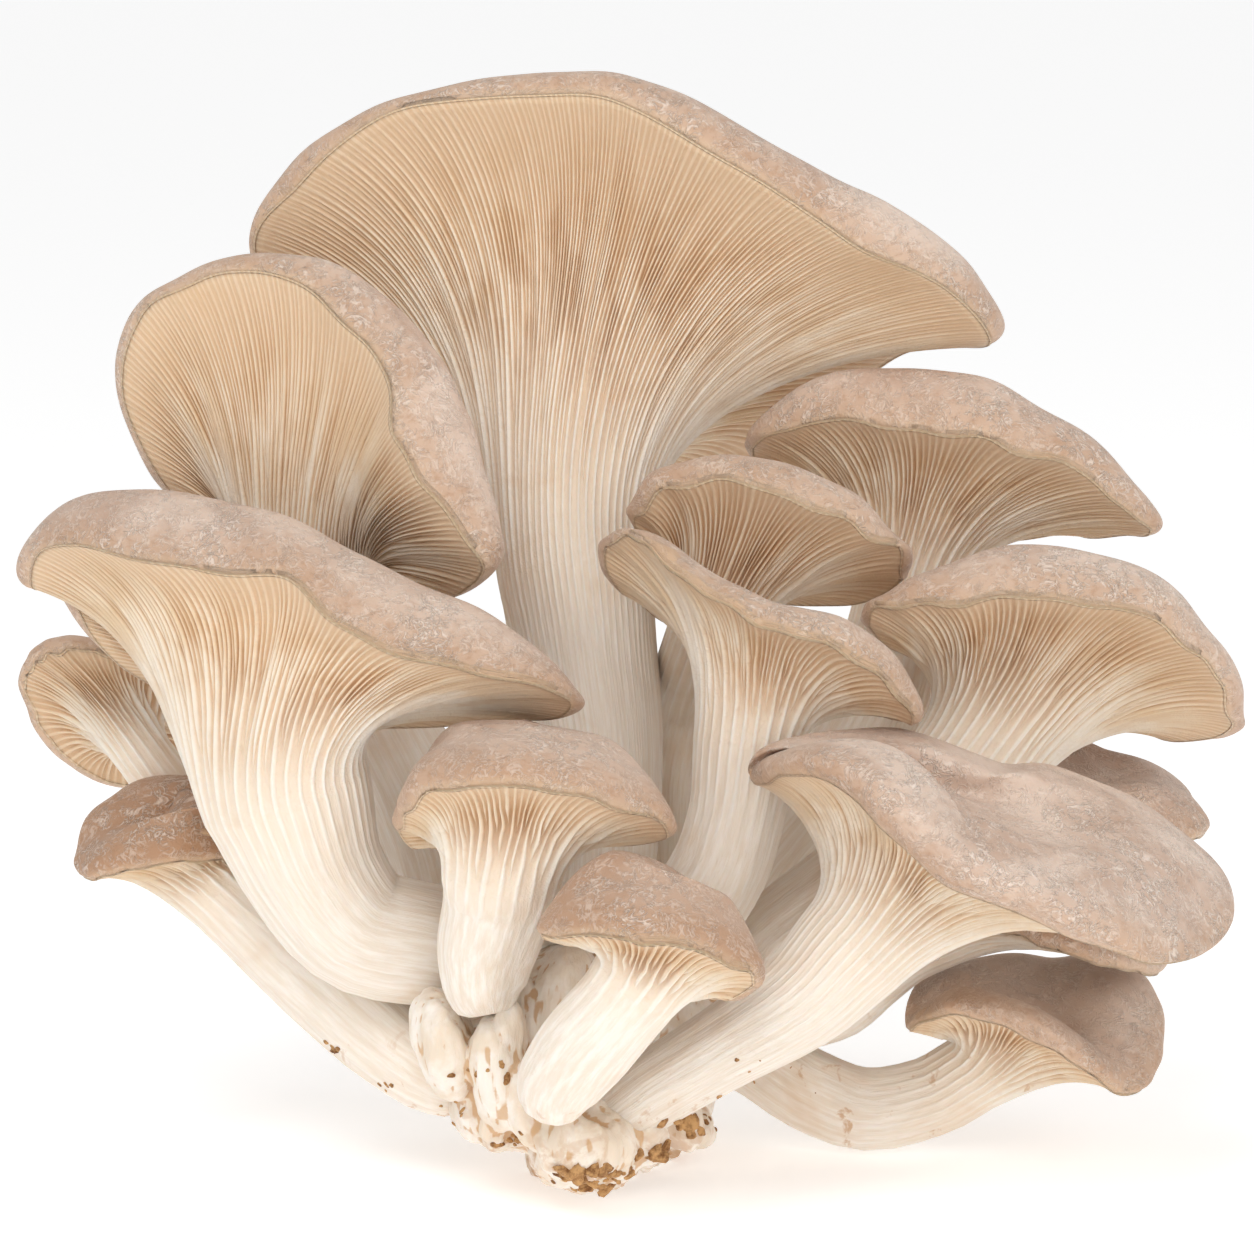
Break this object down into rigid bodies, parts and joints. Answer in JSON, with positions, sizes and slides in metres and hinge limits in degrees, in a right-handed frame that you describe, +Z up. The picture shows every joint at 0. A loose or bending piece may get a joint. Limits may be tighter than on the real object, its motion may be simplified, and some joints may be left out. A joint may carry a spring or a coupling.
{
  "type": "oyster mushroom cluster",
  "caption": "Cluster of oyster mushrooms on one base: brown-grey caps, cream stems and gills that run down them.",
  "frame": {"origin": "on the table, under the middle of the cluster, at the flat spot of the base", "axes": "+X to the viewer's right, -Y towards the viewer who sees the gills, +Z up"},
  "size_m": [0.1983, 0.1434, 0.1732],
  "materials": {
    "cap_skin": "matte, finely felted",
    "stem_and_gills": "matte, silky along the gills",
    "base": "matte, rough, with brown specks"
  },
  "bodies": {
    "root": {"tall_back_stem_gills": "stem_and_gills", "tall_back_cap": "cap_skin", "upper_left_stem_gills": "stem_and_gills", "upper_left_cap": "cap_skin", "front_left_stem_gills": "stem_and_gills", "front_left_cap": "cap_skin", "front_centre_stem_gills": "stem_and_gills", "front_centre_cap": "cap_skin", "front_small_stem_gills": "stem_and_gills", "front_small_cap": "cap_skin", "front_right_stem_gills": "stem_and_gills", "front_right_cap": "cap_skin", "centre_stem_gills": "stem_and_gills", "centre_cap": "cap_skin", "centre_upper_stem_gills": "stem_and_gills", "centre_upper_cap": "cap_skin", "right_upper_stem_gills": "stem_and_gills", "right_upper_cap": "cap_skin", "right_middle_stem_gills": "stem_and_gills", "right_middle_cap": "cap_skin", "right_back_stem_gills": "stem_and_gills", "right_back_cap": "cap_skin", "right_low_stem_gills": "stem_and_gills", "right_low_cap": "cap_skin", "right_inner_stem_gills": "stem_and_gills", "right_inner_cap": "cap_skin", "left_far_stem_gills": "stem_and_gills", "left_far_cap": "cap_skin", "left_low_stem_gills": "stem_and_gills", "left_low_cap": "cap_skin", "base": "base"}
  },
  "joints": []
}
